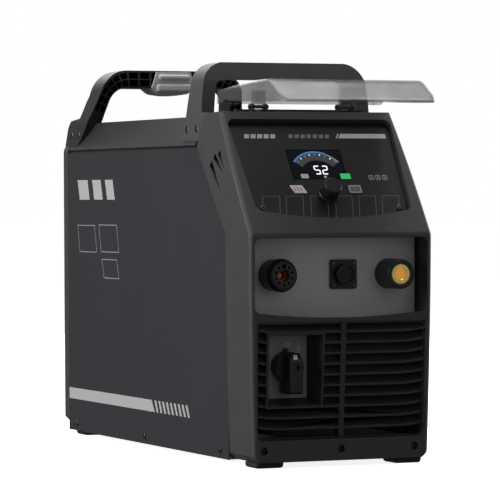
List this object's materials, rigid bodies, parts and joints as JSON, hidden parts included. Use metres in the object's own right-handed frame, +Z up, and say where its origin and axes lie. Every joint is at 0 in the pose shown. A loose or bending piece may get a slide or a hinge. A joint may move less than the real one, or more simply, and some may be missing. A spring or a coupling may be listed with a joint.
{
  "type": "plasma cutter unit",
  "caption": "Portable inverter plasma cutter: painted steel case, moulded front with slanted control panel under a clear hinged cover, connectors, air grille, two carrying handles.",
  "frame": {"origin": "on the floor, in the middle of the outer length and width", "axes": "+X to the right seen from the front, -Y out of the front face, +Z up"},
  "size_m": [0.237, 0.71, 0.486],
  "materials": {
    "blue_grey_paint": "fine-texture powder coat",
    "roof_paint": "fine-texture powder coat",
    "zinc_steel": "zinc-plated sheet",
    "black_moulding": "fine spark-eroded texture",
    "plate_grey": "fine-texture paint",
    "black_insulator": "smooth satin",
    "dark_red_insulator": "smooth satin",
    "soft_grip": "soft-touch",
    "black_rubber": "matt",
    "screw_steel": "blackened zinc",
    "contact_brass": "turned",
    "fascia_film": "printed film",
    "display_glass": "lit display",
    "circuit_green": "solder mask",
    "key_white": "smooth",
    "key_grey": "smooth",
    "clear_plastic": "clear, lightly smoked",
    "hinge_ear_black": "smooth",
    "aluminium": "extruded",
    "module_black": "moulded",
    "ferrite": "sintered",
    "copper_winding": "enamelled"
  },
  "bodies": {
    "case": {"air_inlet_fitting": "contact_brass", "base_chassis": "zinc_steel", "bezel_screws": "screw_steel", "bus_capacitors": "aluminium", "connector_plate": "plate_grey", "control_fascia": "fascia_film", "cover_hinge_ears": "hinge_ear_black", "cover_hinge_pins": "screw_steel", "data_connector_insert": "black_insulator", "data_connector_pins": "contact_brass", "data_connector_screws": "screw_steel", "data_connector_shell": "black_insulator", "display_board": "circuit_green", "display_glass": "display_glass", "earth_socket_body": "black_insulator", "earth_socket_contact": "contact_brass", "encoder_body": "black_insulator", "fan_frame": "black_insulator", "fan_guard": "zinc_steel", "fan_screws": "screw_steel", "fascia_screws": "screw_steel", "front_bezel": "black_moulding", "front_feet": "black_rubber", "front_grille": "black_moulding", "front_handle": "black_moulding", "gas_valve": "contact_brass", "gland_seal": "black_rubber", "handle_screws": "screw_steel", "heat_sinks": "aluminium", "left_side_panel": "blue_grey_paint", "mains_cable_gland": "black_insulator", "output_choke": "copper_winding", "power_board": "circuit_green", "power_modules": "module_black", "rear_feet": "black_rubber", "rear_frame": "black_moulding", "rear_handle": "black_moulding", "rear_handle_grip": "soft_grip", "rear_panel": "plate_grey", "right_side_panel": "blue_grey_paint", "roof_cover": "roof_paint", "side_panel_screws": "screw_steel", "socket_nuts": "contact_brass", "switch_body": "black_insulator", "switch_plate": "plate_grey", "torch_socket_body": "black_insulator", "torch_socket_contact": "contact_brass", "torch_socket_insert": "dark_red_insulator", "transformer_core": "ferrite", "transformer_winding": "copper_winding", "tunnel_deck": "zinc_steel"},
    "cover": {"clear_cover": "clear_plastic"},
    "encoder_shaft": {"encoder_plunger": "screw_steel"},
    "knob": {"encoder_knob": "black_insulator"},
    "left_button": {"left_key": "key_white"},
    "right_button": {"right_key": "key_grey"},
    "main_switch": {"switch_handle": "black_insulator", "switch_handle_screw": "screw_steel"},
    "fan": {"fan_rotor": "black_insulator"}
  },
  "joints": [
    {"name": "cover_hinge", "type": "hinge", "parent": "case", "child": "cover", "pos_m": [0, -0.18495, 0.427], "axis": [1, 0, 0], "range_deg": [-30, 51]},
    {"name": "encoder_push", "type": "slide", "parent": "case", "child": "encoder_shaft", "axis": [0, 0.8192, -0.5736], "range_m": [0, 0.0005], "stiffness_N_per_m": 4000, "springref_m": -0.0005},
    {"name": "knob_turn", "type": "hinge", "parent": "encoder_shaft", "child": "knob", "pos_m": [0, -0.26539, 0.32479], "axis": [0, -0.8192, 0.5736], "continuous": true},
    {"name": "left_key_press", "type": "slide", "parent": "case", "child": "left_button", "axis": [0, 0.8192, -0.5736], "range_m": [0, 0.0006], "stiffness_N_per_m": 1500, "springref_m": -0.0004},
    {"name": "right_key_press", "type": "slide", "parent": "case", "child": "right_button", "axis": [0, 0.8192, -0.5736], "range_m": [0, 0.0006], "stiffness_N_per_m": 1500, "springref_m": -0.0004},
    {"name": "main_switch_turn", "type": "hinge", "parent": "case", "child": "main_switch", "pos_m": [-0.0588, -0.26395, 0.1176], "axis": [0, 1, 0], "range_deg": [0, 45]},
    {"name": "fan_spin", "type": "hinge", "parent": "case", "child": "fan", "pos_m": [0, 0.31725, 0.124], "axis": [0, 1, 0], "continuous": true}
  ]
}
